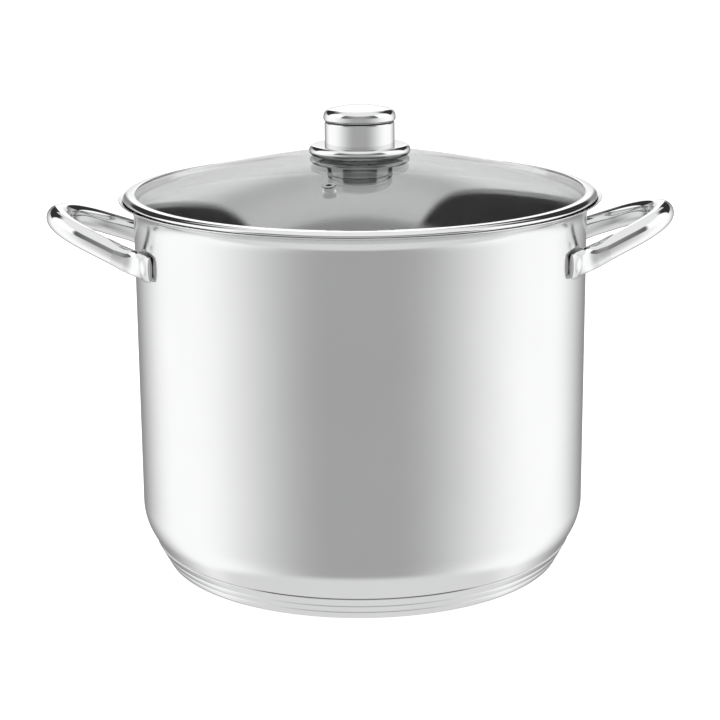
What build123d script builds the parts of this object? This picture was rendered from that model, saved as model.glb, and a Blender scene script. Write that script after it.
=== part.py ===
from build123d import *
from math import acos, asin, cos, degrees, radians, sin, sqrt, tan
import os

# Water bath canner: a straight-sided stockpot with an encapsulated base and two welded tube
# handles, a vented glass lid with a steel knob, and a wire jar rack with two folding bails.
# Millimetres, +Z up. The origin is the centre of the base's underside, +X points to the
# right-hand handle and -Y to the front.

# ---- pot ----
WALL_R = 160.0              # outside radius of the straight wall
SHEET = 0.8                 # wall and floor sheet
WALL_TOP_Z = 252.0          # where the wall starts to flare
FLARE_R = 13.5              # outside radius of the pouring lip's curl
FLARE_DEG = 75.0
CORNER_R = 40.0             # wall to base corner
CORNER_Z = 45.0             # height where the corner meets the wall
SKIRT_DEG = 62.0            # slope of the lowest band, from horizontal
FLOOR_Z = 8.0               # underside of the pot's floor
FLOOR_FILLET = 12.0

# ---- encapsulated base ----
CAP_SHEET = 0.6
CAP_FILLET = 5.0
SEAM_Z = 17.5               # top edge of the base cap
GROOVE_ZS = (6.3, 11.5)
GROOVE_R = 0.9
GROOVE_DEPTH = 0.3

# ---- handles ----
TUBE_R = 8.0
LOOP_DEG = 22.6             # the loop rises outwards by this angle
LOOP_X = 160.0              # centre of the loop's ellipse
LOOP_Z = 228.0
LOOP_REACH = 59.0           # half axes of the ellipse, outwards and sideways
LOOP_HALF_W = 42.7
LOOP_END_DEG = 60.0         # where the ellipse runs into the straight legs
LEG_LENGTH = 22.0           # round part of each straight leg
TAPER_LENGTH = 9.0          # where the leg starts to flatten
FOOT_T = 4.0                # thickness of the flattened end that lies along the wall
FOOT_Z = 227.0
FOOT_DEGS = (22.5, 25.5, 28.3)
FOOT_BEND = 2.3             # how far the bend from leg to foot bulges
TUBE_END_SIZES = (          # half height and half thickness, from the round tube to the foot's tip
    (TUBE_R, TUBE_R),
    (8.6, 6.6),
    (9.4, 4.2),
    (9.8, 2.4),
    (9.8, 2.1),
    (8.8, 1.8),
)

# ---- glass lid ----
GLASS_T = 3.5
CROWN_R = 393.0             # outside radius of the domed centre
CROWN_EDGE_R = 75.0         # where the crown runs into the flatter curve of the flank
FLANK_R = 1460.0            # outside radius of the flank's curve
GLASS_TOP_Z = 294.3
GLASS_EDGE_R = 162.0
KNOB_HOLE_R = 4.5
BAND_INNER_R = 158.5
BAND_OUTER_R = 167.0
BAND_SHEET = 0.6
SKIRT_R = 158.2             # outside radius of the band's locating skirt
SKIRT_BOTTOM_Z = 255.0
VENT_R = 86.0               # the steam vent's distance from the axis
VENT_DEG = 14.0             # its turn from the front towards the left
VENT_HOLE_R = 3.2
VENT_BORE_R = 1.8
VENT_FLANGE_R = 4.7
VENT_SHEET = 0.5

# ---- knob ----
FLANGE_R = 35.8
FLANGE_Z = 296.7            # height of the widest point
FLANGE_EDGE = 3.7           # radius of the rolled edge
KNOB_SHEET = 0.8
GASKET_R = 28.0
SLEEVE_R = 24.7
SLEEVE_TOP_Z = 316.6
KNOB_CAP_R = 25.5
KNOB_CAP_Z = 317.2
KNOB_TOP_Z = 328.2
KNOB_CROWN = 2.6            # rise of the cap's top
KNOB_CORNER = 5.5
SCREW_R = 2.95
SCREW_HEAD_R = 5.5
SCREW_HEAD_H = 4.0
SCREW_TOP_Z = 311.0
INSERT_R = 4.5
INSERT_TOP_Z = 313.0
THREAD_R = 3.0
WASHER_R = 12.0
WASHER_T = 1.2
INNER_GASKET_T = 2.0

# ---- jar rack ----
WIRE_R = 2.0
GRID_WIRE_R = 1.75
BASE_RING_R = 140.0
BASE_RING_Z = 24.3
GRID_PITCH = 25.0
GRID_HALF_COUNT = 5
TOP_RING_R = 150.5
TOP_RING_Z = 116.0
CENTRE_RING_R = 50.5        # clears the middle jar inside and six jars outside
DIVIDERS = 6
WELD = 0.3                  # how deep welded wires sink into each other
RACK_FOOT_X = 95.0
RACK_FOOT_Y = 75.0
RACK_FOOT_BEND = 5.0
FLOOR_GAP = 0.3

# ---- rack bails ----
BAIL_WIRE_R = 2.0
BAIL_X = 123.3
BAIL_EYE_Y = 86.3
BAIL_LEG_Y = 75.0
BAIL_LENGTH = 105.0
BAIL_BEND = 14.0
PIN_BEND = 6.0
EYE_HALF = 4.0
EYE_R = 4.0
EYE_CLEARANCE = 0.05
PIN_HEAD_R = 3.0
PIN_HEAD_T = 2.0
PIN_PLAY = 0.6


def polar(centre, radius, angle):
    """Point on a circle in the section plane."""
    return (centre[0] + radius * cos(radians(angle)), centre[1] + radius * sin(radians(angle)))


def arc(centre, radius, start, end):
    """Arc in the section plane, from one angle to another."""
    return ThreePointArc(
        polar(centre, radius, start),
        polar(centre, radius, (start + end) / 2),
        polar(centre, radius, end),
    )


def turned(*lines):
    """Solid of revolution about Z from a closed section drawn as (radius, height)."""
    edges = [edge for line in lines for edge in line.edges()]
    return revolve(Plane.XZ * make_face(Wire(edges)), Axis.Z)


def turned_outline(*points):
    return turned(Polyline(*points, close=True))


def disc(radius, low, high):
    """Round plate or bar about Z between two heights."""
    return extrude(Plane(origin=(0, 0, low)) * Circle(radius), high - low)


def washer(inner, outer, low, high):
    return disc(outer, low, high) - disc(inner, low, high)


def rod(start, end, radius):
    """Straight round bar between two points."""
    axis = Vector(end) - Vector(start)
    return extrude(Plane(origin=start, z_dir=axis) * Circle(radius), axis.length)


def tube_ring(radius, z, wire_radius):
    return Pos(0, 0, z) * Torus(radius, wire_radius)


def wire_along(path, radius):
    return sweep(Plane(origin=path @ 0, z_dir=path % 0) * Circle(radius), path=path)


# ---------------------------------------------------------------- pot

CORNER_CENTRE = (WALL_R - CORNER_R, CORNER_Z)
FLARE_CENTRE = (WALL_R + FLARE_R, WALL_TOP_Z)


def skirt_point(offset, z):
    """Point on the sloping band, moved inwards by offset."""
    top = polar(CORNER_CENTRE, CORNER_R - offset, SKIRT_DEG - 90)
    return (top[0] - (top[1] - z) / tan(radians(SKIRT_DEG)), z)


def floor_corner(offset, floor_z, radius):
    """Arc that joins the flat floor to the sloping band."""
    corner = skirt_point(offset, floor_z)
    reach = radius * tan(radians(SKIRT_DEG / 2))
    centre = (corner[0] - reach, floor_z + radius)
    return arc(centre, radius, -90, SKIRT_DEG - 90)


def shell_side(offset):
    """Floor, corner, wall and lip of the pot, moved inwards by offset."""
    floor_z = FLOOR_Z + offset
    floor_arc = floor_corner(offset, floor_z, FLOOR_FILLET - offset)
    corner = arc(CORNER_CENTRE, CORNER_R - offset, SKIRT_DEG - 90, 0)
    flare = arc(FLARE_CENTRE, FLARE_R + offset, 180, 180 - FLARE_DEG)
    return [
        Line((0, floor_z), floor_arc @ 0),
        floor_arc,
        Line(floor_arc @ 1, corner @ 0),
        corner,
        Line(corner @ 1, flare @ 0),
        flare,
    ]


def make_pot_shell():
    outer = shell_side(0)
    inner = shell_side(SHEET)
    tip_out = outer[-1] @ 1
    tip_in = inner[-1] @ 1
    tip_mid = (tip_out + tip_in) / 2 + (outer[-1] % 1) * (SHEET / 2)
    return turned(
        *outer, ThreePointArc(tip_out, tip_mid, tip_in), *inner, Line(inner[0] @ 0, outer[0] @ 0)
    )


def make_base_cap():
    outer_arc = floor_corner(-CAP_SHEET, 0, CAP_FILLET)
    inner_arc = floor_corner(0, CAP_SHEET, CAP_FILLET - CAP_SHEET)
    seam_out = skirt_point(-CAP_SHEET, SEAM_Z)
    seam_in = skirt_point(0, SEAM_Z)
    cap = turned(
        Line((0, 0), outer_arc @ 0),
        outer_arc,
        Polyline(outer_arc @ 1, seam_out, seam_in, inner_arc @ 1),
        inner_arc,
        Polyline(inner_arc @ 0, (0, CAP_SHEET), (0, 0)),
    )
    for z in GROOVE_ZS:
        centre = polar(skirt_point(-CAP_SHEET, z), GROOVE_R - GROOVE_DEPTH, SKIRT_DEG - 90)
        cap -= tube_ring(centre[0], centre[1], GROOVE_R)
    return cap


def make_core_disc():
    return disc((floor_corner(0, FLOOR_Z, FLOOR_FILLET) @ 0).X, CAP_SHEET, FLOOR_Z)


# ---------------------------------------------------------------- handles

def make_loop():
    """Centre line of the loop: the end of an ellipse in a plane that rises outwards."""
    ellipse = EllipticalCenterArc((0, 0), LOOP_REACH, LOOP_HALF_W, -LOOP_END_DEG, arc_size=2 * LOOP_END_DEG)
    return Pos(LOOP_X, 0, LOOP_Z) * Rot(0, -LOOP_DEG, 0) * ellipse


def oval(centre, heading, half_height, half_thickness):
    """Upright oval tube section that faces along heading."""
    return Plane(origin=centre, x_dir=(0, 0, 1), z_dir=heading) * Ellipse(half_height, half_thickness)


def make_tube_end(loop):
    """Straight leg that flattens, meets the wall and turns along it as a flat welded foot."""
    heading = loop % 1
    leg_end = (loop @ 1) + heading * LEG_LENGTH
    taper_end = leg_end + heading * TAPER_LENGTH
    feet = []
    for angle in FOOT_DEGS:
        x, y = polar((0, 0), WALL_R + FOOT_T / 2, angle)
        feet.append((Vector(x, y, FOOT_Z), Vector(-y, x, 0).normalized()))
    foot_start, along_wall = feet[0]
    middle = (taper_end + foot_start) / 2 + (heading - along_wall) * FOOT_BEND
    stations = [(leg_end, heading), (taper_end, heading), (middle, heading + along_wall), *feet]
    flattened = loft([oval(*station, *size) for station, size in zip(stations, TUBE_END_SIZES)])
    return rod(loop @ 1, leg_end, TUBE_R) + flattened


def make_handle():
    """Right-hand handle; the left-hand one is its mirror image."""
    loop = make_loop()
    end = make_tube_end(loop)
    handle = wire_along(loop, TUBE_R) + end + mirror(end, about=Plane.XZ)
    return handle - disc(WALL_R, 0, GLASS_TOP_Z)


# ---------------------------------------------------------------- lid

CROWN_CENTRE = (0, GLASS_TOP_Z - CROWN_R)
CROWN_EDGE_DEG = 90 - degrees(asin(CROWN_EDGE_R / CROWN_R))
FLANK_CENTRE = polar(CROWN_CENTRE, CROWN_R - FLANK_R, CROWN_EDGE_DEG)


def flank_deg(radius, depth=0):
    """Direction from the flank's centre to its surface at a radius from the lid's axis."""
    return degrees(acos((radius - FLANK_CENTRE[0]) / (FLANK_R - depth)))


def glass_z(radius, depth=0):
    """Height of the glass's flank, or of a surface that lies a depth below it."""
    return polar(FLANK_CENTRE, FLANK_R - depth, flank_deg(radius, depth))[1]


def dome(depth, outer_radius, low):
    """Solid below a surface parallel to the glass's top, down to a flat at low."""
    crown = arc(CROWN_CENTRE, CROWN_R - depth, 90, CROWN_EDGE_DEG)
    flank = arc(FLANK_CENTRE, FLANK_R - depth, CROWN_EDGE_DEG, flank_deg(outer_radius, depth))
    return turned(crown, flank, Polyline(flank @ 1, (outer_radius, low), (0, low), crown @ 0))


def on_glass(shape):
    """Moves a piece drawn about Z at the origin to the vent's place on the glass."""
    lean = Rot(0, 90 - flank_deg(VENT_R), 0)
    return Rot(0, 0, -90 - VENT_DEG) * Pos(VENT_R, 0, glass_z(VENT_R)) * lean * shape


def make_lid_glass():
    glass = dome(0, GLASS_EDGE_R, SKIRT_BOTTOM_Z) - dome(GLASS_T, GLASS_EDGE_R, SKIRT_BOTTOM_Z)
    glass -= disc(KNOB_HOLE_R, SKIRT_BOTTOM_Z, GLASS_TOP_Z + GLASS_T)
    return glass - on_glass(disc(VENT_HOLE_R, -2 * GLASS_T, GLASS_T))


def make_rim_band():
    """Folded steel band: top lip, outer bead, and a skirt that drops inside the pot."""
    under = GLASS_T
    return turned_outline(
        (BAND_INNER_R, glass_z(BAND_INNER_R)),
        (BAND_INNER_R, glass_z(BAND_INNER_R) + BAND_SHEET),
        (BAND_OUTER_R - BAND_SHEET, glass_z(BAND_OUTER_R) + BAND_SHEET),
        (BAND_OUTER_R, glass_z(BAND_OUTER_R)),
        (BAND_OUTER_R, glass_z(BAND_OUTER_R) - BAND_SHEET),
        (GLASS_EDGE_R + BAND_SHEET, glass_z(GLASS_EDGE_R, under) - BAND_SHEET),
        (SKIRT_R, glass_z(SKIRT_R, under) - BAND_SHEET),
        (SKIRT_R, SKIRT_BOTTOM_Z),
        (SKIRT_R - BAND_SHEET, SKIRT_BOTTOM_Z),
        (SKIRT_R - BAND_SHEET, glass_z(SKIRT_R - BAND_SHEET, under)),
        (GLASS_EDGE_R, glass_z(GLASS_EDGE_R, under)),
        (GLASS_EDGE_R, glass_z(GLASS_EDGE_R)),
    )


def make_vent_eyelet():
    """Grommet clinched over both faces of the glass."""
    barrel = disc(VENT_HOLE_R, -GLASS_T - VENT_SHEET, VENT_SHEET)
    top = disc(VENT_FLANGE_R, 0, VENT_SHEET)
    bottom = disc(VENT_FLANGE_R, -GLASS_T - VENT_SHEET, -GLASS_T)
    bore = disc(VENT_BORE_R, -2 * GLASS_T, GLASS_T)
    return on_glass(barrel + top + bottom - bore)


# ---------------------------------------------------------------- knob

FLANGE_TOP_Z = FLANGE_Z + FLANGE_EDGE
WEB_Z = FLANGE_TOP_Z - KNOB_SHEET
KNOB_INNER_R = SLEEVE_R - KNOB_SHEET
GLASS_UNDER_Z = GLASS_TOP_Z - GLASS_T
WASHER_TOP_Z = GLASS_UNDER_Z - INNER_GASKET_T
WASHER_Z = WASHER_TOP_Z - WASHER_T


def make_knob_flange():
    """Dished disc with a rolled edge that sits on the glass."""
    centre = (FLANGE_R - FLANGE_EDGE, FLANGE_Z)
    outer = arc(centre, FLANGE_EDGE, 90, -90)
    inner = arc(centre, FLANGE_EDGE - KNOB_SHEET, -90, 90)
    return turned(
        Line((SCREW_R + EYE_CLEARANCE, FLANGE_TOP_Z), outer @ 0),
        outer,
        Line(outer @ 1, inner @ 0),
        inner,
        Polyline(
            inner @ 1,
            (SCREW_R + EYE_CLEARANCE, WEB_Z),
            (SCREW_R + EYE_CLEARANCE, FLANGE_TOP_Z),
        ),
    )


def make_knob_gasket():
    return washer(KNOB_HOLE_R, GASKET_R, GLASS_UNDER_Z, WEB_Z) - dome(0, GLASS_EDGE_R, SKIRT_BOTTOM_Z)


def make_inner_gasket():
    ring = washer(KNOB_HOLE_R, WASHER_R, WASHER_TOP_Z, GLASS_TOP_Z)
    return ring & dome(GLASS_T, GLASS_EDGE_R, SKIRT_BOTTOM_Z)


def knob_cap_outline(inset):
    """Crown, rounded corner and lower edge of the cap, moved inwards by inset."""
    radius = KNOB_CAP_R - inset
    top = KNOB_TOP_Z - inset
    corner = KNOB_CORNER - inset
    centre = (radius - corner, top - KNOB_CROWN - corner)
    crown = ThreePointArc((0, top), (centre[0] / 2, top - KNOB_CROWN / 4), polar(centre, corner, 90))
    return crown, arc(centre, corner, 90, 0), (radius, KNOB_CAP_Z)


def make_knob_cap():
    crown, edge, foot = knob_cap_outline(0)
    in_crown, in_edge, in_foot = knob_cap_outline(KNOB_SHEET)
    return turned(
        crown, edge, Polyline(edge @ 1, foot, in_foot, in_edge @ 1), in_edge, in_crown,
        Line(in_crown @ 0, crown @ 0),
    )


def make_knob_core():
    """Moulded insulating core inside the sleeve and the cap, bored for the threaded insert."""
    crown, edge, foot = knob_cap_outline(KNOB_SHEET)
    core = turned(crown, edge, Polyline(edge @ 1, foot, (0, KNOB_CAP_Z), crown @ 0))
    core += disc(KNOB_INNER_R, FLANGE_TOP_Z, KNOB_CAP_Z)
    return core - disc(INSERT_R, FLANGE_TOP_Z, INSERT_TOP_Z)


def make_knob_screw():
    head = disc(SCREW_HEAD_R, WASHER_Z - SCREW_HEAD_H, WASHER_Z)
    head = fillet(head.edges().group_by(Axis.Z)[0], SCREW_HEAD_H / 3)
    slot = Pos(0, 0, WASHER_Z - SCREW_HEAD_H) * Box(2 * SCREW_HEAD_R, SCREW_HEAD_H / 3, SCREW_HEAD_H)
    return head + disc(SCREW_R, WASHER_Z, SCREW_TOP_Z) - slot


# ---------------------------------------------------------------- jar rack

DIVIDER_Z = TOP_RING_Z - 2 * WIRE_R + WELD
GRID_Z = BASE_RING_Z + WIRE_R + GRID_WIRE_R - WELD
PIN_Z = TOP_RING_Z + WIRE_R + EYE_R - WELD


def spoke_dirs():
    """Unit directions of the gaps between the outer jars."""
    for i in range(DIVIDERS):
        angle = radians((i + 0.5) * 360 / DIVIDERS)
        yield Vector(cos(angle), sin(angle), 0)


def at(direction, radius, z):
    return direction * radius + Vector(0, 0, z)


def make_grid_wires():
    wires = []
    for i in range(-GRID_HALF_COUNT, GRID_HALF_COUNT + 1):
        y = i * GRID_PITCH
        reach = sqrt(BASE_RING_R**2 - y**2)
        wires.append(rod((-reach, y, GRID_Z), (reach, y, GRID_Z), GRID_WIRE_R))
    return Compound(wires)


def make_feet():
    """U-shaped wire feet, each hung from two neighbouring grid wires."""
    floor = FLOOR_Z + SHEET + FLOOR_GAP + WIRE_R
    feet = []
    for x in (-RACK_FOOT_X, RACK_FOOT_X):
        for y in (-RACK_FOOT_Y, RACK_FOOT_Y - GRID_PITCH):
            far_y = y + GRID_PITCH
            corners = [(x, y, GRID_Z), (x, y, floor), (x, far_y, floor), (x, far_y, GRID_Z)]
            feet.append(wire_along(FilletPolyline(corners, radius=RACK_FOOT_BEND), WIRE_R))
    return Compound(feet)


def spoke_wires(start_radius, start_z, end_radius, end_z):
    """The same straight wire in each of the gaps between the outer jars."""
    return Compound(
        [rod(at(d, start_radius, start_z), at(d, end_radius, end_z), WIRE_R) for d in spoke_dirs()]
    )


def make_bail_eyes():
    """Short tubes on the top ring that the bails' pins turn in."""
    eyes = []
    for x in (-BAIL_X, BAIL_X):
        for y in (-BAIL_EYE_Y, BAIL_EYE_Y):
            ends = (x, y - EYE_HALF, PIN_Z), (x, y + EYE_HALF, PIN_Z)
            eyes.append(rod(*ends, EYE_R) - rod(*ends, BAIL_WIRE_R + EYE_CLEARANCE))
    return Compound(eyes)


def make_left_bail():
    """Wire handle folded inwards, its pins held by upset heads outside the eyes."""
    head_y = BAIL_EYE_Y + EYE_HALF + PIN_PLAY
    end_y = head_y + PIN_HEAD_T
    tip_x = BAIL_LENGTH - BAIL_X
    path = FilletPolyline(
        (-BAIL_X, end_y, PIN_Z),
        (-BAIL_X, BAIL_LEG_Y, PIN_Z),
        (tip_x, BAIL_LEG_Y, PIN_Z),
        (tip_x, -BAIL_LEG_Y, PIN_Z),
        (-BAIL_X, -BAIL_LEG_Y, PIN_Z),
        (-BAIL_X, -end_y, PIN_Z),
        radius=[PIN_BEND, BAIL_BEND, BAIL_BEND, PIN_BEND],
    )
    bail = wire_along(path, BAIL_WIRE_R)
    for side in (-1, 1):
        bail += rod((-BAIL_X, side * head_y, PIN_Z), (-BAIL_X, side * end_y, PIN_Z), PIN_HEAD_R)
    return bail


# ---------------------------------------------------------------- assembly

right_handle = make_handle()
left_bail = make_left_bail()

parts = {
    "pot_shell": make_pot_shell(),
    "base_core_disc": make_core_disc(),
    "base_cap": make_base_cap(),
    "right_handle": right_handle,
    "left_handle": mirror(right_handle, about=Plane.YZ),
    "lid_glass": make_lid_glass(),
    "lid_rim_band": make_rim_band(),
    "vent_eyelet": make_vent_eyelet(),
    "knob_flange": make_knob_flange(),
    "knob_gasket": make_knob_gasket(),
    "knob_sleeve": washer(KNOB_INNER_R, SLEEVE_R, FLANGE_TOP_Z, SLEEVE_TOP_Z),
    "knob_cap": make_knob_cap(),
    "knob_core": make_knob_core(),
    "knob_insert": washer(THREAD_R, INSERT_R, FLANGE_TOP_Z, INSERT_TOP_Z),
    "knob_inner_gasket": make_inner_gasket(),
    "knob_washer": washer(SCREW_R + EYE_CLEARANCE, WASHER_R, WASHER_Z, WASHER_TOP_Z),
    "knob_screw": make_knob_screw(),
    "rack_base_ring": tube_ring(BASE_RING_R, BASE_RING_Z, WIRE_R),
    "rack_grid_wires": make_grid_wires(),
    "rack_feet": make_feet(),
    "rack_uprights": spoke_wires(BASE_RING_R, BASE_RING_Z, TOP_RING_R, TOP_RING_Z),
    "rack_inner_posts": spoke_wires(CENTRE_RING_R, GRID_Z, CENTRE_RING_R, TOP_RING_Z),
    "rack_divider_bars": spoke_wires(CENTRE_RING_R, DIVIDER_Z, TOP_RING_R, DIVIDER_Z),
    "rack_centre_ring": tube_ring(CENTRE_RING_R, TOP_RING_Z, WIRE_R),
    "rack_top_ring": tube_ring(TOP_RING_R, TOP_RING_Z, WIRE_R),
    "rack_bail_eyes": make_bail_eyes(),
    "left_bail": left_bail,
    "right_bail": mirror(left_bail, about=Plane.YZ),
}

os.makedirs("parts", exist_ok=True)
for name, shape in parts.items():
    export_step(shape, f"parts/{name}.step")
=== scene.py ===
from math import acos, asin, ceil, cos, degrees, hypot, pi, radians, sin, sqrt, tan

import bmesh
import bpy
from mathutils import Matrix, Quaternion, Vector


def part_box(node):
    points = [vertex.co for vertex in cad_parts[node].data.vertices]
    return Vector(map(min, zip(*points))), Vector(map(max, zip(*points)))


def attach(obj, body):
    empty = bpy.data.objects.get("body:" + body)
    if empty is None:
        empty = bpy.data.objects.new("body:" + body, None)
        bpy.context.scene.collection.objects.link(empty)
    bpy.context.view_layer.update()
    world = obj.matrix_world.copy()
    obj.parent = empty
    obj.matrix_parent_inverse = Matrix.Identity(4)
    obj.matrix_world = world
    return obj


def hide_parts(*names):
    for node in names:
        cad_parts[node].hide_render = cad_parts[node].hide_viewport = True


# Looks of the water bath canner: polished stockpot, tube handles, vented glass lid with a
# steel knob, and the wire jar rack. Metres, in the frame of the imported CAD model.

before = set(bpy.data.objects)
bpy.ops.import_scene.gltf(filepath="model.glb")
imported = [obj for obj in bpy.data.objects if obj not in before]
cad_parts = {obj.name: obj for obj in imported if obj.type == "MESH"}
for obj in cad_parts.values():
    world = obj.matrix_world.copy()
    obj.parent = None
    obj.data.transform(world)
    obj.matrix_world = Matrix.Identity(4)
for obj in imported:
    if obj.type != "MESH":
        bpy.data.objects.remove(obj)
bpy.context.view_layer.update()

# ---- driving values that the boxes of the CAD nodes don't give ----
STEPS = 360                 # faces round a turned piece
VENT_STEPS = 96             # faces round the vent's grommet
HOLE_STEPS = 64             # faces round the hole it sits in
ARC_STEP = 3.0              # degrees between the points of an arc in an outline
DOME_STEPS = 24             # points along the glass's crown, and again along its flank
CAP_STEPS = 24              # points along the crown of the knob's cap
RING_STEPS = 40             # points round a handle's section
LOOP_STEPS = 40             # sections along half of a handle's loop
END_STEPS = 12              # sections between two stations of a handle's end
TIP_STEPS = 6               # sections of its rounded tip
GROOVE_STEPS = 6            # points across half a groove
ON_AXIS = 1e-7              # an outline point nearer to the axis than this closes the solid
SHARP = radians(32)         # edges with a larger turn between their faces stay crisp

WALL_R = 0.160
SHEET = 0.0008
WALL_TOP_Z = 0.252
FLARE_R = 0.0135
FLARE_DEG = 75.0
CORNER_R = 0.040
CORNER_Z = 0.045
SKIRT_DEG = 62.0
FLOOR_FILLET = 0.012
CAP_SHEET = 0.0006
CAP_FILLET = 0.005
GROOVE_ZS = (0.0063, 0.0115)
GROOVE_HALF = 0.0007
GROOVE_DEPTH = 0.0003
SEAM_IN = 0.0002            # how far the base cap's top edge is turned in, and over what height
SEAM_DROP = 0.0003
INWARDS = 0.5               # a face that points to the axis or up by more than this is inside

TUBE_R = 0.008
LOOP_RISE = radians(22.6)   # slope of the loop's plane
LOOP_X = 0.160              # centre of its oval arc, and the arc's half axes
LOOP_Z = 0.228
LOOP_REACH = 0.059
LOOP_HALF_W = 0.0427
LOOP_END = radians(60)      # where the arc runs into a straight leg
LEG_LENGTH = 0.022
TAPER_LENGTH = 0.009
FOOT_T = 0.004
FOOT_Z = 0.227
FOOT_DEGS = (22.5, 25.5, 28.3)      # the foot's start, middle and tip, round the wall
FOOT_BEND = 0.0023          # how far the bend before the foot bulges
TUBE_END_SIZES = (          # half height and half thickness, from the round tube to the foot's tip
    (TUBE_R, TUBE_R),
    (0.0086, 0.0066),
    (0.0094, 0.0042),
    (0.0098, 0.0024),
    (0.0098, 0.0021),
    (0.0088, 0.0018),
)
DIMPLE_DEG = 25.6           # dished spot weld in each foot
DIMPLE_R = 0.0062
DIMPLE_DEPTH = 0.0013
TIP_REACH = 0.5             # length of the rounded tip and width of its last ring, as shares
TIP_CLOSED = 0.02           # of the foot's half thickness

GLASS_T = 0.0035
CROWN_R = 0.393
CROWN_EDGE_R = 0.075
FLANK_R = 1.46
GLASS_TOP_Z = 0.2943
GLASS_EASE = 0.0004         # rounding of the glass's rim
KNOB_HOLE_R = 0.0045
BAND_INNER_R = 0.1585
BAND_SHEET = 0.0006
BAND_CLEARANCE = 0.00005
BAND_ROUND = 0.0002         # rounding of the skirt's lower edge
BAND_CREST_R = 0.1596       # highest line of the rolled top
BAND_RISE = 0.00115
BAND_CURL_R = 0.0007        # rounding of the outer edge
SKIRT_R = 0.1582
VENT_R = 0.086
VENT_TURN = radians(-90 - 14)   # 14 degrees to the left of straight in front
VENT_HOLE_R = 0.0032
VENT_BORE_R = 0.0018
VENT_FLANGE_R = 0.0047
VENT_SHEET = 0.0005
VENT_LIP_DEG = 30.0         # how far the flanges' rolled edges turn past level

KNOB_SHEET = 0.0008
FLANGE_BORE_R = 0.003
KNOB_CROWN = 0.0026
KNOB_CORNER = 0.0055
KNOB_EDGE = 0.0014          # rounding of the two edges beside the knob's groove
KNOB_EDGE_DEG = 60.0


# ---------------------------------------------------------------- outlines

def polar(centre, radius, angle):
    """Point on a circle in the section plane; angles in degrees."""
    return (centre[0] + radius * cos(radians(angle)), centre[1] + radius * sin(radians(angle)))


def arc(centre, radius, start, end):
    """Points of an arc in the section plane, both ends included."""
    count = max(2, ceil(abs(end - start) / ARC_STEP))
    return [polar(centre, radius, start + (end - start) * i / count) for i in range(count + 1)]


def oval_arc(centre, reach, rise, start, end):
    """Points of an arc of an upright ellipse in the section plane, both ends included."""
    points = arc((0, 0), 1, start, end)
    return [(centre[0] + x * reach, centre[1] + y * rise) for x, y in points]


def skirt_point(offset, z):
    """Point on the pot's sloping lowest band, moved inwards by offset."""
    top = polar((WALL_R - CORNER_R, CORNER_Z), CORNER_R - offset, SKIRT_DEG - 90)
    return (top[0] - (top[1] - z) / tan(radians(SKIRT_DEG)), z)


def floor_corner(offset, floor_z, radius):
    """Arc from the flat floor into the sloping band."""
    corner = skirt_point(offset, floor_z)
    centre = (corner[0] - radius * tan(radians(SKIRT_DEG / 2)), floor_z + radius)
    return arc(centre, radius, -90, SKIRT_DEG - 90)


def shell_side(offset, floor_z):
    """Floor, corner, wall and flared lip, from the axis outwards and up."""
    return [
        (0, floor_z + offset),
        *floor_corner(offset, floor_z + offset, FLOOR_FILLET - offset),
        *arc((WALL_R - CORNER_R, CORNER_Z), CORNER_R - offset, SKIRT_DEG - 90, 0),
        *arc((WALL_R + FLARE_R, WALL_TOP_Z), FLARE_R + offset, 180, 180 - FLARE_DEG),
    ]


CROWN_CENTRE = (0, GLASS_TOP_Z - CROWN_R)
CROWN_EDGE_DEG = 90 - degrees(asin(CROWN_EDGE_R / CROWN_R))
FLANK_CENTRE = polar(CROWN_CENTRE, CROWN_R - FLANK_R, CROWN_EDGE_DEG)


def flank_deg(radius, depth=0.0):
    """Direction from the flank's centre to its surface at a radius from the lid's axis."""
    return degrees(acos((radius - FLANK_CENTRE[0]) / (FLANK_R - depth)))


def glass_z(radius, depth=0.0):
    """Height of the lid glass's flank, or of a surface a depth below it."""
    return polar(FLANK_CENTRE, FLANK_R - depth, flank_deg(radius, depth))[1]


def dome_side(depth, inner, outer):
    """The glass's crown and flank at a depth, from the knob hole outwards."""
    radius = CROWN_R - depth
    start = 90 - degrees(asin(inner / radius))
    sweep = CROWN_EDGE_DEG - start
    turns = [start + sweep * i / DOME_STEPS for i in range(DOME_STEPS + 1)]
    crown = [polar(CROWN_CENTRE, radius, turn) for turn in turns]
    edge = crown[-1][0]
    rest = [edge + (outer - edge) * i / DOME_STEPS for i in range(1, DOME_STEPS + 1)]
    return crown + [(r, glass_z(r, depth)) for r in rest]


# ---------------------------------------------------------------- meshes

def new_object(name, verts, faces, uvs=None):
    """Smooth mesh object with its faces turned outwards; edges sharper than SHARP stay crisp."""
    mesh = bpy.data.meshes.new(name)
    mesh.from_pydata(verts, [], faces)
    if uvs:
        layer = mesh.uv_layers.new(name="along")
        for loop in mesh.loops:
            layer.data[loop.index].uv = uvs[loop.vertex_index]
    work = bmesh.new()
    work.from_mesh(mesh)
    bmesh.ops.recalc_face_normals(work, faces=work.faces)
    work.to_mesh(mesh)
    work.free()
    mesh.shade_smooth()
    mesh.set_sharp_from_angle(angle=SHARP)
    obj = bpy.data.objects.new(name, mesh)
    bpy.context.scene.collection.objects.link(obj)
    return obj


def lathe(name, outline, steps=STEPS, matrix=None):
    """Solid of revolution about Z from a closed outline of (radius, height) points."""
    verts, rows = [], []
    for r, z in outline:
        count = 1 if r < ON_AXIS else steps
        rows.append(range(len(verts), len(verts) + count))
        for k in range(count):
            turn = 2 * pi * k / steps
            verts.append(Vector((r * cos(turn), r * sin(turn), z)))
    if matrix:
        verts = [matrix @ v for v in verts]
    faces = []
    for a, b in zip(rows, [*rows[1:], rows[0]]):
        if len(a) == 1 and len(b) == 1:
            continue
        for k in range(steps):
            n = (k + 1) % steps
            corners = (a[k % len(a)], a[n % len(a)], b[n % len(b)], b[k % len(b)])
            faces.append(list(dict.fromkeys(corners)))
    return new_object(name, verts, faces)


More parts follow.
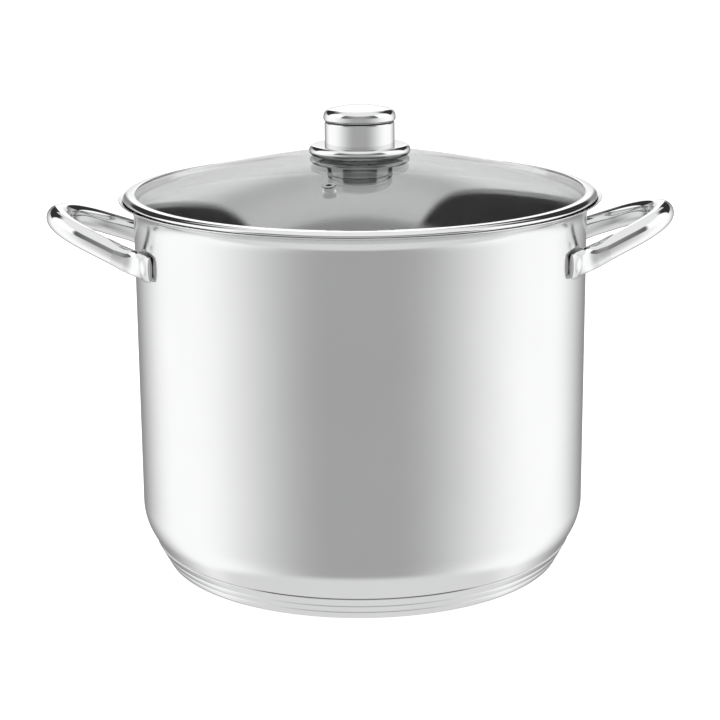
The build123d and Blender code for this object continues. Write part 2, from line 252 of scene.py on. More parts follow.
def loft(name, rings, along):
    """Closed skin through rings of points, its ends closed by fans. UV is (along, around)."""
    size = len(rings[0])
    verts = [p for ring in rings for p in ring]
    uvs = [(reach, j / size * 2 * pi * TUBE_R) for reach in along for j in range(size)]
    faces = []
    for i in range(len(rings) - 1):
        for j in range(size):
            n = (j + 1) % size
            faces.append((i * size + j, i * size + n, (i + 1) * size + n, (i + 1) * size + j))
    for i in (0, len(rings) - 1):
        centre = sum(rings[i], Vector()) / size
        verts.append(centre)
        uvs.append((along[i], 0))
        faces += [(i * size + j, i * size + (j + 1) % size, len(verts) - 1) for j in range(size)]
    return new_object(name, verts, faces, uvs)


def ring_of(centre, heading, half_height, half_thickness):
    """Points of an upright oval section that faces along heading."""
    side = heading.cross(Vector((0, 0, 1))).normalized()
    up = side.cross(heading)
    turns = [2 * pi * j / RING_STEPS for j in range(RING_STEPS)]
    return [centre + up * half_height * cos(t) + side * half_thickness * sin(t) for t in turns]


def spline_value(a, b, c, d, t):
    """Catmull-Rom value between b and c; a and d are the values before and after them."""
    bend = 2 * a - 5 * b + 4 * c - d
    twist = 3 * b - a - 3 * c + d
    return 0.5 * (2 * b + (c - a) * t + bend * t**2 + twist * t**3)


def smooth_between(stations, per_span):
    """Smooth run through a list of stations, each a list of numbers."""
    ends = [stations[0], *stations, stations[-1]]
    out = []
    for i in range(len(stations) - 1):
        for step in range(per_span):
            out.append([spline_value(*values, step / per_span) for values in zip(*ends[i:i + 4])])
    out.append(stations[-1])
    return out


# ---------------------------------------------------------------- nodes

def set_inputs(tree, node, inputs):
    """Sets a node's inputs; each is a plain value or another node's socket."""
    for key, value in inputs.items():
        if isinstance(value, bpy.types.NodeSocket):
            tree.links.new(value, node.inputs[key])
        else:
            node.inputs[key].default_value = value


def add(tree, kind, inputs=None, **settings):
    """New node with its settings and inputs."""
    node = tree.nodes.new(kind)
    for name, value in settings.items():
        setattr(node, name, value)
    set_inputs(tree, node, inputs or {})
    return node


def calc(tree, operation, *values):
    """Result of a maths node."""
    return add(tree, "ShaderNodeMath", dict(enumerate(values)), operation=operation).outputs[0]


def split(tree, vector):
    """The three parts of a vector."""
    return list(add(tree, "ShaderNodeSeparateXYZ", {0: vector}).outputs)


def flat_length(tree, x, y):
    """Distance of a point from the Z axis."""
    squares = [calc(tree, "MULTIPLY", part, part) for part in (x, y)]
    return calc(tree, "SQRT", calc(tree, "ADD", *squares))


def in_degrees(tree, operation, value):
    """Inverse sine or cosine in degrees."""
    return calc(tree, "MULTIPLY", calc(tree, operation, value), 180 / pi)


def ramp(tree, value, low, high, out_low=0.0, out_high=1.0, smooth=True):
    """Value mapped from one range to another, clamped, with a soft or a straight rise."""
    inputs = {
        "Value": value, "From Min": low, "From Max": high, "To Min": out_low, "To Max": out_high,
    }
    kind = "SMOOTHSTEP" if smooth else "LINEAR"
    return add(tree, "ShaderNodeMapRange", inputs, interpolation_type=kind).outputs["Result"]


def blend(tree, share, low, high):
    """Value that goes from low to high as share goes from 0 to 1."""
    return add(tree, "ShaderNodeMix", {0: share, 2: low, 3: high}).outputs[0]


def noise(tree, vector, scale, detail=2.0, roughness=0.5, w=None):
    """Noise value from 0 to 1; w adds a fourth dimension."""
    inputs = {"Vector": vector, "Scale": scale, "Detail": detail, "Roughness": roughness}
    if w is None:
        return add(tree, "ShaderNodeTexNoise", inputs).outputs[0]
    return add(tree, "ShaderNodeTexNoise", {**inputs, "W": w}, noise_dimensions="4D").outputs[0]


def mix_colour(tree, factor, low, high):
    """Colour that goes from low to high as factor goes from 0 to 1."""
    inputs = {"Factor": factor, "A": (*low, 1), "B": (*high, 1)}
    return add(tree, "ShaderNodeMix", inputs, data_type="RGBA").outputs["Result"]


def relief(tree, height, depth):
    """Surface direction of a bumpy skin whose bumps are depth high."""
    inputs = {"Height": height, "Distance": depth, "Strength": 1.0}
    return add(tree, "ShaderNodeBump", inputs).outputs[0]


def coords(tree, kind):
    """Texture coordinates of a kind."""
    return add(tree, "ShaderNodeTexCoord").outputs[kind]


LINE_DETAIL = {"detail": 3.0, "roughness": 0.65}
LINE_CENTRE_R = 0.0005      # nearer to the axis than this the lines hardly change round it


def turned_lines(tree, fine, drift):
    """Fine lines that run round the Z axis, as turning, spinning and polishing leave them."""
    x, y, z = split(tree, coords(tree, "Object"))
    radius = flat_length(tree, x, y)
    safe = calc(tree, "MAXIMUM", radius, LINE_CENTRE_R)
    vector = add(tree, "ShaderNodeCombineXYZ", {
        0: calc(tree, "MULTIPLY", radius, fine),
        1: calc(tree, "MULTIPLY", z, fine),
        2: calc(tree, "MULTIPLY", calc(tree, "DIVIDE", x, safe), drift),
    }).outputs[0]
    around = calc(tree, "MULTIPLY", calc(tree, "DIVIDE", y, safe), drift)
    return noise(tree, vector, 1.0, **LINE_DETAIL, w=around)


def drawn_lines(tree, fine, drift):
    """Fine lines along a tube, from the piece's own UV."""
    inputs = {"Vector": coords(tree, "UV"), "Scale": (drift, fine, 1.0)}
    return noise(tree, add(tree, "ShaderNodeMapping", inputs).outputs[0], 1.0, **LINE_DETAIL)


def fine_grain(tree, scale):
    """Even grain without a direction."""
    return noise(tree, coords(tree, "Object"), scale, detail=3.0)


def new_material(name):
    """Material with its node tree and its shader."""
    material = bpy.data.materials.new(name)
    material.use_nodes = True
    return material, material.node_tree, material.node_tree.nodes["Principled BSDF"]


CLOUD_SHARE = 0.65          # how much of a metal's colour follows the clouding, not the lines
TINT_SPAN = (0.35, 0.65)    # noise values between which a metal's colour changes
WEAR_SPAN = (0.3, 0.7)      # and between which its roughness does


def mean(tree, first, second, share):
    """Sum of two values weighted by share and by what is left of 1."""
    parts = [calc(tree, "MULTIPLY", first, share), calc(tree, "MULTIPLY", second, 1 - share)]
    return calc(tree, "ADD", *parts)


def metal(name, low, high, rough, spread, lines, depth=0.000002, anisotropy=0.0, clouding=14.0):
    """Metal with polishing lines in its roughness and relief, and faint clouds in its colour."""
    material, tree, shader = new_material(name)
    line = lines(tree)
    clouds = noise(tree, coords(tree, "Object"), clouding, detail=4.0)
    tint = ramp(tree, mean(tree, clouds, line, CLOUD_SHARE), *TINT_SPAN, smooth=False)
    wear = mean(tree, clouds, line, 0.5)
    set_inputs(tree, shader, {
        "Base Color": mix_colour(tree, tint, low, high),
        "Roughness": ramp(tree, wear, *WEAR_SPAN, rough - spread, rough + spread, smooth=False),
        "Normal": relief(tree, line, depth),
        "Metallic": 1.0,
    })
    if anisotropy:
        tangent = add(tree, "ShaderNodeTangent", direction_type="RADIAL", axis="Z").outputs[0]
        set_inputs(tree, shader, {"Anisotropic": anisotropy, "Tangent": tangent})
    return material


GLASS_IOR = 1.52
GLASS_MIRROR = ((0.91, 0.92, 0.915), (0.96, 0.97, 0.965))       # what it mirrors
GLASS_TINT = ((0.958, 0.963, 0.96), (0.986, 0.99, 0.987))       # what it lets through
MARK_SCALE = 55.0           # dry water marks
MARK_SPAN = (0.55, 0.8)
MARK_ROUGH = (0.01, 0.05)
WAVE_SCALE = 9.0            # faint wave of the pressed surface
WAVE_DEPTH = 0.0002


def make_glass():
    """Clear tempered glass, thin enough not to bend the view, with a faint wave and water marks."""
    material, tree, shader = new_material("clear_glass")
    place = coords(tree, "Object")
    marks = noise(tree, place, MARK_SCALE, detail=5.0, roughness=0.6)
    skin = relief(tree, noise(tree, place, WAVE_SCALE, detail=1.0), WAVE_DEPTH)
    set_inputs(tree, shader, {
        "Base Color": mix_colour(tree, marks, *GLASS_MIRROR),
        "Roughness": ramp(tree, marks, *MARK_SPAN, *MARK_ROUGH),
        "Normal": skin,
        "Metallic": 1.0,
    })
    clear = add(tree, "ShaderNodeBsdfTransparent", {"Color": mix_colour(tree, marks, *GLASS_TINT)})
    back = add(tree, "ShaderNodeNewGeometry").outputs["Backfacing"]
    ior = blend(tree, back, GLASS_IOR, 1 / GLASS_IOR)
    share = add(tree, "ShaderNodeFresnel", {"IOR": ior, "Normal": skin}).outputs[0]
    mixed = add(tree, "ShaderNodeMixShader", {0: share, 1: clear.outputs[0], 2: shader.outputs[0]})
    set_inputs(tree, tree.nodes["Material Output"], {"Surface": mixed.outputs[0]})
    return material


GRAIN_SPAN = (0.3, 0.7)     # noise values between which a moulded surface's roughness changes
GRAIN_SPREAD = 0.06
GRAIN_DEPTH = 0.00002


def moulded(name, low, high, rough, grain):
    """Moulded plastic or rubber with a fine matt grain."""
    material, tree, shader = new_material(name)
    speckle = noise(tree, coords(tree, "Object"), grain, detail=4.0)
    ends = (rough - GRAIN_SPREAD, rough + GRAIN_SPREAD)
    set_inputs(tree, shader, {
        "Base Color": mix_colour(tree, speckle, low, high),
        "Roughness": ramp(tree, speckle, *GRAIN_SPAN, *ends),
        "Normal": relief(tree, speckle, GRAIN_DEPTH),
    })
    return material


steel_outside = metal(
    "polished_steel_body", low=(0.700, 0.702, 0.705), high=(0.730, 0.732, 0.735),
    rough=0.15, spread=0.02, lines=lambda tree: turned_lines(tree, fine=2600.0, drift=2.0))
# Satin steel of the pot's inside. Its colour, darker than the outside's, is partly painted shade of
# the pot's inside.
steel_inside_painted_shade = metal(
    "satin_steel_interior_painted_shade", low=(0.54, 0.542, 0.545), high=(0.62, 0.622, 0.625),
    rough=0.33, spread=0.05, lines=lambda tree: turned_lines(tree, fine=1900.0, drift=3.0),
    depth=0.000004, anisotropy=0.75)
steel_bright = metal(
    "mirror_steel_turned", low=(0.715, 0.717, 0.72), high=(0.745, 0.747, 0.75),
    rough=0.06, spread=0.015, lines=lambda tree: turned_lines(tree, fine=3200.0, drift=2.0),
    depth=0.000001)
steel_tube = metal(
    "mirror_steel_tube", low=(0.715, 0.717, 0.72), high=(0.745, 0.747, 0.75),
    rough=0.06, spread=0.015, lines=lambda tree: drawn_lines(tree, fine=2400.0, drift=40.0),
    depth=0.000001)
steel_satin = metal(
    "satin_steel_small", low=(0.66, 0.662, 0.665), high=(0.72, 0.722, 0.725),
    rough=0.24, spread=0.05, lines=lambda tree: turned_lines(tree, fine=2200.0, drift=4.0))
# Steel of the vent's grommet. Its dark colour is painted shade of the vent hole.
dark_steel_painted_shade = metal(
    "dull_steel_grommet_painted_shade", low=(0.24, 0.24, 0.245), high=(0.32, 0.32, 0.325),
    rough=0.30, spread=0.06, lines=lambda tree: turned_lines(tree, fine=2200.0, drift=4.0))
wire_steel = metal(
    "electropolished_wire", low=(0.64, 0.642, 0.645), high=(0.72, 0.722, 0.725),
    rough=0.20, spread=0.05, lines=lambda tree: fine_grain(tree, scale=900.0),
    depth=0.00001, clouding=60.0)
core_aluminium = metal(
    "bare_aluminium", low=(0.76, 0.765, 0.77), high=(0.82, 0.825, 0.83),
    rough=0.35, spread=0.05, lines=lambda tree: turned_lines(tree, fine=1500.0, drift=3.0),
    depth=0.000006)
insert_brass = metal(
    "plain_brass", low=(0.66, 0.50, 0.22), high=(0.76, 0.60, 0.30),
    rough=0.26, spread=0.05, lines=lambda tree: turned_lines(tree, fine=2600.0, drift=3.0),
    depth=0.000004)
# Silicone of the knob's gaskets. Its paleness is partly painted light that brightens the shaded
# place under the knob's skirt.
silicone = moulded(
    "pale_silicone_and_painted_light", low=(0.72, 0.72, 0.71), high=(0.82, 0.82, 0.81), rough=0.42, grain=700.0)
phenolic = moulded(
    "black_phenolic", low=(0.012, 0.012, 0.012), high=(0.03, 0.03, 0.03), rough=0.38, grain=1200.0)
clear_glass = make_glass()


def dress(obj, body, slot, node, *materials):
    """Gives a piece its body and its materials, and hides the CAD node it stands for; slot is not
    used.
    """
    for material in materials:
        obj.data.materials.append(material)
    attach(obj, body)
    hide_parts(node)


# ---------------------------------------------------------------- pot

def make_pot():
    """Drawn body with a flared lip, polished outside and satin inside; the inside's darker colour
    is partly painted shade.
    """
    low_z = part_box("pot_shell")[0].z
    outer = shell_side(0, low_z)
    inner = shell_side(SHEET, low_z)
    tip = [(a + b) / 2 for a, b in zip(outer[-1], inner[-1])]
    bead = arc(tip, SHEET / 2, -FLARE_DEG, 180 - FLARE_DEG)[1:-1]
    pot = lathe("pot_body", outer + bead + inner[::-1])
    dress(pot, "pot", "polished_steel", "pot_shell", steel_outside, steel_inside_painted_shade)
    for face in pot.data.polygons:
        centre, normal = face.center, face.normal
        outwards = Vector((centre.x, centre.y, 0)).normalized()
        on_floor = normal.z > INWARDS and centre.z < CORNER_Z
        face.material_index = int(on_floor or normal.dot(outwards) < -INWARDS)


def make_base():
    """Polished cup that closes the base, with two grooves and a turned-in seam."""
    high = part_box("base_cap")[1]
    outline = [(0, 0), *floor_corner(-CAP_SHEET, 0, CAP_FILLET)]
    outwards = (sin(radians(SKIRT_DEG)), -cos(radians(SKIRT_DEG)))
    for z in GROOVE_ZS:
        for step in range(-GROOVE_STEPS, GROOVE_STEPS + 1):
            share = step / GROOVE_STEPS
            r, here = skirt_point(-CAP_SHEET, z + share * GROOVE_HALF)
            depth = GROOVE_DEPTH * (1 - share**2)**2
            outline.append((r - outwards[0] * depth, here - outwards[1] * depth))
    seam = skirt_point(-CAP_SHEET, high.z)
    inner = skirt_point(0, high.z)
    outline += [(seam[0] - SEAM_IN / 2, seam[1] - SEAM_DROP), (seam[0] - SEAM_IN, seam[1]), inner]
    outline += [*floor_corner(0, CAP_SHEET, CAP_FILLET - CAP_SHEET)[::-1], (0, CAP_SHEET)]
    dress(lathe("base_cup", outline), "pot", "polished_steel", "base_cap", steel_outside)


def loop_stations():
    """Centre, heading and size of the tube from the top of the loop to the start of a leg."""
    out = []
    outwards = Vector((cos(LOOP_RISE), 0, sin(LOOP_RISE)))
    sideways = Vector((0, 1, 0))
    hub = Vector((LOOP_X, 0, LOOP_Z))
    for i in range(LOOP_STEPS + 1):
        turn = LOOP_END * i / LOOP_STEPS
        centre = hub + outwards * LOOP_REACH * cos(turn) + sideways * LOOP_HALF_W * sin(turn)
        heading = sideways * LOOP_HALF_W * cos(turn) - outwards * LOOP_REACH * sin(turn)
        out.append((centre, heading.normalized(), (TUBE_R, TUBE_R)))
    return out


def end_stations(leg_start, heading):
    """The flattening leg and its foot along the wall."""
    leg_end = leg_start + heading * LEG_LENGTH
    taper_end = leg_end + heading * TAPER_LENGTH
    feet = []
    for angle in FOOT_DEGS:
        x, y = polar((0, 0), WALL_R + FOOT_T / 2, angle)
        feet.append((Vector((x, y, FOOT_Z)), Vector((-y, x, 0)).normalized()))
    foot_start, along_wall = feet[0]
    middle = (taper_end + foot_start) / 2 + (heading - along_wall) * FOOT_BEND
    rows = [(leg_end, heading), (taper_end, heading), (middle, heading + along_wall), *feet]
    flat = [[*c, *h.normalized(), *size] for (c, h), size in zip(rows, TUBE_END_SIZES)]
    return [
        (Vector(v[:3]), Vector(v[3:6]).normalized(), tuple(v[6:]))
        for v in smooth_between(flat, END_STEPS)
    ]


def round_tip(station):
    """Small rings that close the foot's tip with a rounded edge."""
    centre, heading, (half_height, half_thickness) = station
    rings = []
    for i in range(1, TIP_STEPS + 1):
        turn = pi / 2 * i / TIP_STEPS
        shrink = cos(turn) if i < TIP_STEPS else TIP_CLOSED
        move = heading * half_thickness * TIP_REACH * sin(turn)
        size = (half_height - half_thickness * (1 - shrink), half_thickness * shrink)
        rings.append((centre + move, heading, size))
    return rings


def press_foot(p):
    """Moves a point of the right handle's feet: dishes the spot weld and keeps out of the wall."""
    turn = radians(DIMPLE_DEG)
    away = Vector((cos(turn), sin(turn) * (1 if p.y > 0 else -1), 0))
    spot = away * WALL_R + Vector((0, 0, FOOT_Z))
    depth = (p - spot).dot(away)
    across = (p - spot - away * depth).length
    if across < DIMPLE_R and depth > FOOT_T / 2:
        p -= away * DIMPLE_DEPTH * (1 - (across / DIMPLE_R)**2)**2
    r = hypot(p.x, p.y)
    if r < WALL_R:
        p.x *= WALL_R / r
        p.y *= WALL_R / r


def make_handle(side):
    """Handle on one side: side is 1 for the right one, -1 for the left one."""
    half = loop_stations()
    half += end_stations(*half[-1][:2])
    half += round_tip(half[-1])
    mirrored = [
        (Vector((c.x, -c.y, c.z)), Vector((-h.x, h.y, -h.z)), size) for c, h, size in half[:0:-1]
    ]
    stations = mirrored + half
    along = [0.0]
    for (before, *_), (centre, *_) in zip(stations, stations[1:]):
        along.append(along[-1] + (centre - before).length)
    rings = [ring_of(centre, heading, *size) for centre, heading, size in stations]
    for ring in rings:
        for p in ring:
            press_foot(p)
            p.x *= side
    word = "right" if side > 0 else "left"
    obj = loft(f"{word}_tube_handle", rings, along)
    dress(obj, "pot", "polished_steel", f"{word}_handle", steel_tube)


# ---------------------------------------------------------------- lid

def on_glass():
    """Matrix from the origin to the vent's place on the glass."""
    place = Matrix.Rotation(VENT_TURN, 4, "Z") @ Matrix.Translation((VENT_R, 0, glass_z(VENT_R)))
    return place @ Matrix.Rotation(radians(90 - flank_deg(VENT_R)), 4, "Y")


def make_glass_lid():
    """Domed glass with a hole for the knob's screw and one for the vent."""
    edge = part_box("lid_glass")[1].x
    top = dome_side(0, KNOB_HOLE_R, edge - GLASS_EASE)
    under = dome_side(GLASS_T, KNOB_HOLE_R, edge - GLASS_EASE)
    rim = [(edge, glass_z(edge) - GLASS_EASE), (edge, glass_z(edge, GLASS_T) + GLASS_EASE)]
    lid = lathe("glass_dome", top + rim + under[::-1])
    low, high = -3 * GLASS_T, GLASS_T
    drill = [(0, low), (VENT_HOLE_R, low), (VENT_HOLE_R, high), (0, high)]
    cutter = lathe("vent_cutter", drill, HOLE_STEPS, on_glass())
    cut = lid.modifiers.new("vent_hole", "BOOLEAN")
    cut.object = cutter
    cut.solver = "EXACT"
    graph = bpy.context.evaluated_depsgraph_get()
    mesh = bpy.data.meshes.new_from_object(lid.evaluated_get(graph))
    lid.modifiers.clear()
    lid.data = mesh
    mesh.shade_smooth()
    mesh.set_sharp_from_angle(angle=SHARP)
    bpy.data.objects.remove(cutter)
    dress(lid, "lid", "tempered_glass", "lid_glass", clear_glass)


def make_rim_band():
    """Rolled steel band: arched top, curled outer edge, and a skirt inside the pot."""
    low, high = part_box("lid_rim_band")
    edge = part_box("lid_glass")[1].x
    start = (BAND_CREST_R, glass_z(BAND_INNER_R) + BAND_CLEARANCE)
    crest_z = glass_z(BAND_CREST_R) + BAND_RISE
    outer_z = glass_z(high.x)
    under_edge = glass_z(edge, GLASS_T)
    under_skirt = glass_z(SKIRT_R, GLASS_T)
    outline = [
        *oval_arc(start, BAND_CREST_R - BAND_INNER_R, crest_z - start[1], 180, 90),
        *oval_arc((BAND_CREST_R, outer_z), high.x - BAND_CREST_R, crest_z - outer_z, 90, 0)[1:],
        *arc((high.x - BAND_CURL_R, outer_z), BAND_CURL_R, 0, -90)[1:],
        (edge + BAND_SHEET, under_edge - BAND_SHEET),
        (SKIRT_R + BAND_SHEET, under_skirt - BAND_SHEET),
        (SKIRT_R, under_skirt - 2 * BAND_SHEET),
        (SKIRT_R, low.z + BAND_ROUND),
        (SKIRT_R - BAND_SHEET / 2, low.z),
        (SKIRT_R - BAND_SHEET, low.z + BAND_ROUND),
        (SKIRT_R - BAND_SHEET, glass_z(SKIRT_R - BAND_SHEET, GLASS_T) - BAND_CLEARANCE),
        (edge + BAND_CLEARANCE, under_edge - BAND_CLEARANCE),
        (edge + BAND_CLEARANCE, glass_z(edge) + BAND_CLEARANCE),
    ]
    dress(lathe("rim_band", outline), "lid", "polished_steel", "lid_rim_band", steel_bright)


def make_vent():
    """Clinched grommet with rolled flanges above and below the glass."""
    low = -GLASS_T
    edge_r = VENT_SHEET / 2
    edge_at, roll_at = VENT_FLANGE_R - edge_r, VENT_BORE_R + VENT_SHEET
    outline = [
        (VENT_HOLE_R, 0),
        (VENT_FLANGE_R, 0),
        *arc((edge_at, edge_r), edge_r, -VENT_LIP_DEG, 90),
        *arc((roll_at, 0), VENT_SHEET, 90, 180),
        (VENT_BORE_R, low),
        *arc((roll_at, low), VENT_SHEET, 180, 270),
        *arc((edge_at, low - edge_r), edge_r, -90, VENT_LIP_DEG),
        (VENT_HOLE_R, low),
    ]
    obj = lathe("vent_grommet", outline, VENT_STEPS, on_glass())
    dress(obj, "lid", "satin_steel", "vent_eyelet", dark_steel_painted_shade)


# ---------------------------------------------------------------- knob

def make_flange():
    """Disc under the knob, with a rolled edge."""
    low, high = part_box("knob_flange")
    edge_r = (high.z - low.z) / 2
    centre = (high.x - edge_r, (high.z + low.z) / 2)
    outline = [
        (FLANGE_BORE_R, high.z),
        *arc(centre, edge_r, 90, -90),
        *arc(centre, edge_r - KNOB_SHEET, -90, 90),
        (FLANGE_BORE_R, high.z - KNOB_SHEET),
    ]
    dress(lathe("knob_skirt", outline), "lid", "polished_steel", "knob_flange", steel_bright)


def make_sleeve():
    """Lower cylinder of the knob, eased where the groove starts."""
    low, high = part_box("knob_sleeve")
    inner = high.x - KNOB_SHEET
    shoulder = arc((high.x - KNOB_EDGE, high.z - KNOB_EDGE), KNOB_EDGE, 0, KNOB_EDGE_DEG)
    outline = [(inner, low.z), (high.x, low.z), *shoulder, (inner, shoulder[-1][1])]
    dress(lathe("knob_barrel", outline), "lid", "polished_steel", "knob_sleeve", steel_bright)


def cap_top(radius, top, corner):
    """Crown and rounded corner of the knob's cap, from the axis outwards."""
    half = radius - corner
    crown_r = (half**2 + KNOB_CROWN**2) / (2 * KNOB_CROWN)
    crown = [half * i / CAP_STEPS for i in range(CAP_STEPS)]
    crown = [(r, top - crown_r + sqrt(crown_r**2 - r**2)) for r in crown]
    return crown + arc((half, top - KNOB_CROWN - corner), corner, 90, 0)


def make_cap():
    """Crowned cap of the knob."""
    low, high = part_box("knob_cap")
    outer = cap_top(high.x, high.z, KNOB_CORNER)
    inner = cap_top(high.x - KNOB_SHEET, high.z - KNOB_SHEET, KNOB_CORNER - KNOB_SHEET)
    foot = arc((high.x - KNOB_EDGE, low.z + KNOB_EDGE), KNOB_EDGE, 0, -KNOB_EDGE_DEG)
    obj = lathe("knob_crown", [*outer, *foot, (high.x - KNOB_SHEET, foot[-1][1]), *inner[::-1]])
    dress(obj, "lid", "polished_steel", "knob_cap", steel_bright)


def paint_cad(material, *nodes):
    """Gives CAD nodes whose shape stays a procedural material."""
    for name in nodes:
        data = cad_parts[name].data
        data.materials.clear()
        data.materials.append(material)


# ---------------------------------------------------------------- studio

VIEW_TARGET = Vector((-0.001, 0.0, 0.1431))
VIEW_DISTANCE = 1.4261
VIEW_ELEVATION = radians(14.66)
VIEW_ROLL = radians(-0.46)
VIEW_LENS = 98.46
SENSOR_WIDTH = 36.0
CLIP_START, CLIP_END = 0.05, 60.0

FLOOR_HALF = 12.0
FLOOR_Z = -0.0005
FLOOR_GREYS = ((0.80, 0.80, 0.80), (0.84, 0.84, 0.84))
FLOOR_GRAIN = 2.0
FLOOR_ROUGH = 0.9
FLOOR_GLOW = 0.72

# The light by direction: degrees round from straight in front, and degrees above level. A range
# is where a change starts and ends, followed by the strengths at its two ends if they aren't 0
# and 1.
LEVEL_RISE = (15.0, 95.0, 0.50, 1.33)       # level band, brightest at each side
LEVEL_FALL = (112.0, 165.0, 0.0, 1.03)      # what it loses towards the back
SIDE_FRONT_EDGE = (60.0, 68.0)              # upper part of the panel on each side
SIDE_BACK_EDGE = (118.0, 124.0, 1.0, 0.0)
SIDE_LIGHT = 1.40
FRONT_GAP = (10.0, 60.0, 0.42, 0.16)        # dim gap in front of the side panels
BACK_HALF = (85.0, 95.0)                    # where that gap gives way to what stands behind
BACK_GAP_LIGHT = 0.04                       # dark gap between the side panels and the back panel
BACK_PANEL_LOW = (20.0, 27.0, 1.52, 1.25)
BACK_PANEL_HIGH = (26.0, 36.0, 0.0, 0.65)
BACK_PANEL_EDGES = ((-1, 15.3, 0.15), (1, 17.0, 0.30))      # side, half width, lean in
BACK_PANEL_SOFT = 0.4
VALANCE_TURN = (150.0, 158.0)               # strip across the top of the back panel and its gaps
VALANCE_FROM = (36.6, 38.0)
VALANCE_LIGHT = 1.0
OVERHEAD_FROM = (48.0, 58.0)
OVERHEAD_LIGHT = 1.08
SWEEP = (4.0, 15.0, 0.90, 1.30)             # backdrop straight behind, below the back panel
SWEEP_TURN = (165.0, 169.0)
SWEEP_FROM = (-13.0, -9.0)
UPPER_FROM = (14.0, 18.0)                   # where the level band gives way to the panels
GROUND_TO = (-55.0, -44.0)
GROUND_LIGHT = 0.92
BACKGROUND_LIGHT = 1.0                      # plain white where the camera sees past the object
STRAIGHT_UP = 0.0001                        # level part below which a direction has no azimuth


def make_camera():
    """Long-lens camera in front of the pot, which looks down on it by VIEW_ELEVATION."""
    data = bpy.data.cameras.new("photo_camera")
    data.lens = VIEW_LENS
    data.sensor_width = SENSOR_WIDTH
    data.clip_start, data.clip_end = CLIP_START, CLIP_END
    camera = bpy.data.objects.new("photo_camera", data)
    back = Vector((0, -cos(VIEW_ELEVATION), sin(VIEW_ELEVATION)))
    camera.location = VIEW_TARGET + back * VIEW_DISTANCE
    camera.rotation_mode = "QUATERNION"
    camera.rotation_quaternion = (-back).to_track_quat("-Z", "Y") @ Quaternion((0, 0, 1), VIEW_ROLL)
    bpy.context.scene.collection.objects.link(camera)
    bpy.context.scene.camera = camera


def make_floor():
    """Pale seamless floor. The studio's panels light the steel, which doesn't mirror the floor."""
    signs = ((-1, -1), (1, -1), (1, 1), (-1, 1))
    corners = [Vector((x * FLOOR_HALF, y * FLOOR_HALF, 0)) for x, y in signs]
    floor = new_object("floor", corners, [(0, 1, 2, 3)])
    floor.location.z = FLOOR_Z
    material, tree, shader = new_material("pale_floor")
    grain = noise(tree, coords(tree, "Object"), FLOOR_GRAIN)
    set_inputs(tree, shader, {
        "Base Color": mix_colour(tree, grain, *FLOOR_GREYS),
        "Roughness": FLOOR_ROUGH,
        "Specular IOR Level": 0.0,
        "Emission Color": (1, 1, 1, 1),
        "Emission Strength": FLOOR_GLOW,
    })
    floor.data.materials.append(material)
    floor.visible_glossy = False


def back_panel(tree, x, flat, elevation):
    """1 inside the panel behind the pot, which narrows upwards, and 0 outside it."""
    turn = in_degrees(tree, "ARCSINE", calc(tree, "DIVIDE", x, flat))
    inside = []
    for side, foot_deg, lean in BACK_PANEL_EDGES:
        across = calc(tree, "MULTIPLY", turn, side)
        reach = calc(tree, "ADD", across, calc(tree, "MULTIPLY", elevation, lean))
        edge = (foot_deg - BACK_PANEL_SOFT, foot_deg + BACK_PANEL_SOFT)
        inside.append(ramp(tree, reach, *edge, 1.0, 0.0))
    return calc(tree, "MULTIPLY", *inside)


def overlap(tree, first, first_range, second, second_range):
    """Product of two ramps, which marks the directions where both are at work."""
    shares = (ramp(tree, first, *first_range), ramp(tree, second, *second_range))
    return calc(tree, "MULTIPLY", *shares)


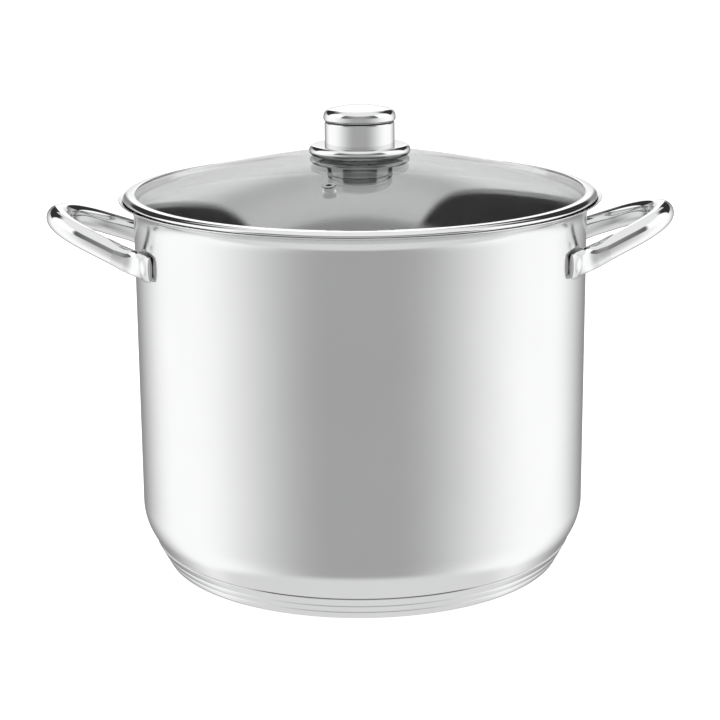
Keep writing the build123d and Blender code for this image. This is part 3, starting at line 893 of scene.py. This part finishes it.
def make_world():
    """Soft studio: a tall panel on each side, one overhead, a pale sweep, dark gaps between."""
    world = bpy.data.worlds.new("studio")
    world.use_nodes = True
    bpy.context.scene.world = world
    tree = world.node_tree
    tree.nodes.clear()
    x, y, z = split(tree, coords(tree, "Generated"))
    flat = flat_length(tree, x, y)
    towards = calc(tree, "MULTIPLY", y, -1.0)
    facing = calc(tree, "DIVIDE", towards, calc(tree, "MAXIMUM", flat, STRAIGHT_UP))
    azimuth = in_degrees(tree, "ARCCOSINE", facing)
    elevation = in_degrees(tree, "ARCSINE", z)

    # Level band: a bright panel on each side that fades round to the front and the back.
    rise = ramp(tree, azimuth, *LEVEL_RISE)
    level = calc(tree, "SUBTRACT", rise, ramp(tree, azimuth, *LEVEL_FALL))
    # Upper band: the side panels' crisp upper part and a panel behind, with dark gaps between.
    side = overlap(tree, azimuth, SIDE_FRONT_EDGE, azimuth, SIDE_BACK_EDGE)
    front = ramp(tree, azimuth, *FRONT_GAP)
    panel = ramp(tree, elevation, *BACK_PANEL_LOW)
    panel = calc(tree, "ADD", panel, ramp(tree, elevation, *BACK_PANEL_HIGH))
    behind = blend(tree, back_panel(tree, x, flat, elevation), BACK_GAP_LIGHT, panel)
    valance = overlap(tree, azimuth, VALANCE_TURN, elevation, VALANCE_FROM)
    behind = blend(tree, valance, behind, VALANCE_LIGHT)
    gaps = blend(tree, ramp(tree, azimuth, *BACK_HALF), front, behind)
    upper = blend(tree, side, gaps, SIDE_LIGHT)
    overhead = blend(tree, ramp(tree, elevation, *OVERHEAD_FROM), upper, OVERHEAD_LIGHT)
    # Backdrop, and the ground below it.
    straight_behind = overlap(tree, azimuth, SWEEP_TURN, elevation, SWEEP_FROM)
    backdrop = blend(tree, straight_behind, level, ramp(tree, elevation, *SWEEP))
    middle = blend(tree, ramp(tree, elevation, *UPPER_FROM), backdrop, overhead)
    light = blend(tree, ramp(tree, elevation, *GROUND_TO), GROUND_LIGHT, middle)

    path = add(tree, "ShaderNodeLightPath").outputs
    seen = calc(tree, "MAXIMUM", path["Is Camera Ray"], path["Is Transmission Ray"])
    strength = blend(tree, seen, light, BACKGROUND_LIGHT)
    background = add(tree, "ShaderNodeBackground", {"Color": (1, 1, 1, 1), "Strength": strength})
    add(tree, "ShaderNodeOutputWorld", {"Surface": background.outputs[0]})


make_camera()
make_floor()
make_world()
bpy.context.scene.view_settings.view_transform = "Standard"

make_pot()
make_base()
make_handle(1)
make_handle(-1)
make_glass_lid()
make_rim_band()
make_vent()
make_flange()
make_sleeve()
make_cap()
paint_cad(silicone, "knob_gasket", "knob_inner_gasket")
paint_cad(phenolic, "knob_core")
paint_cad(insert_brass, "knob_insert")
paint_cad(steel_satin, "knob_washer", "knob_screw")
paint_cad(core_aluminium, "base_core_disc")
paint_cad(wire_steel, *[
    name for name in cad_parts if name.startswith("rack_") or name.endswith("_bail")])
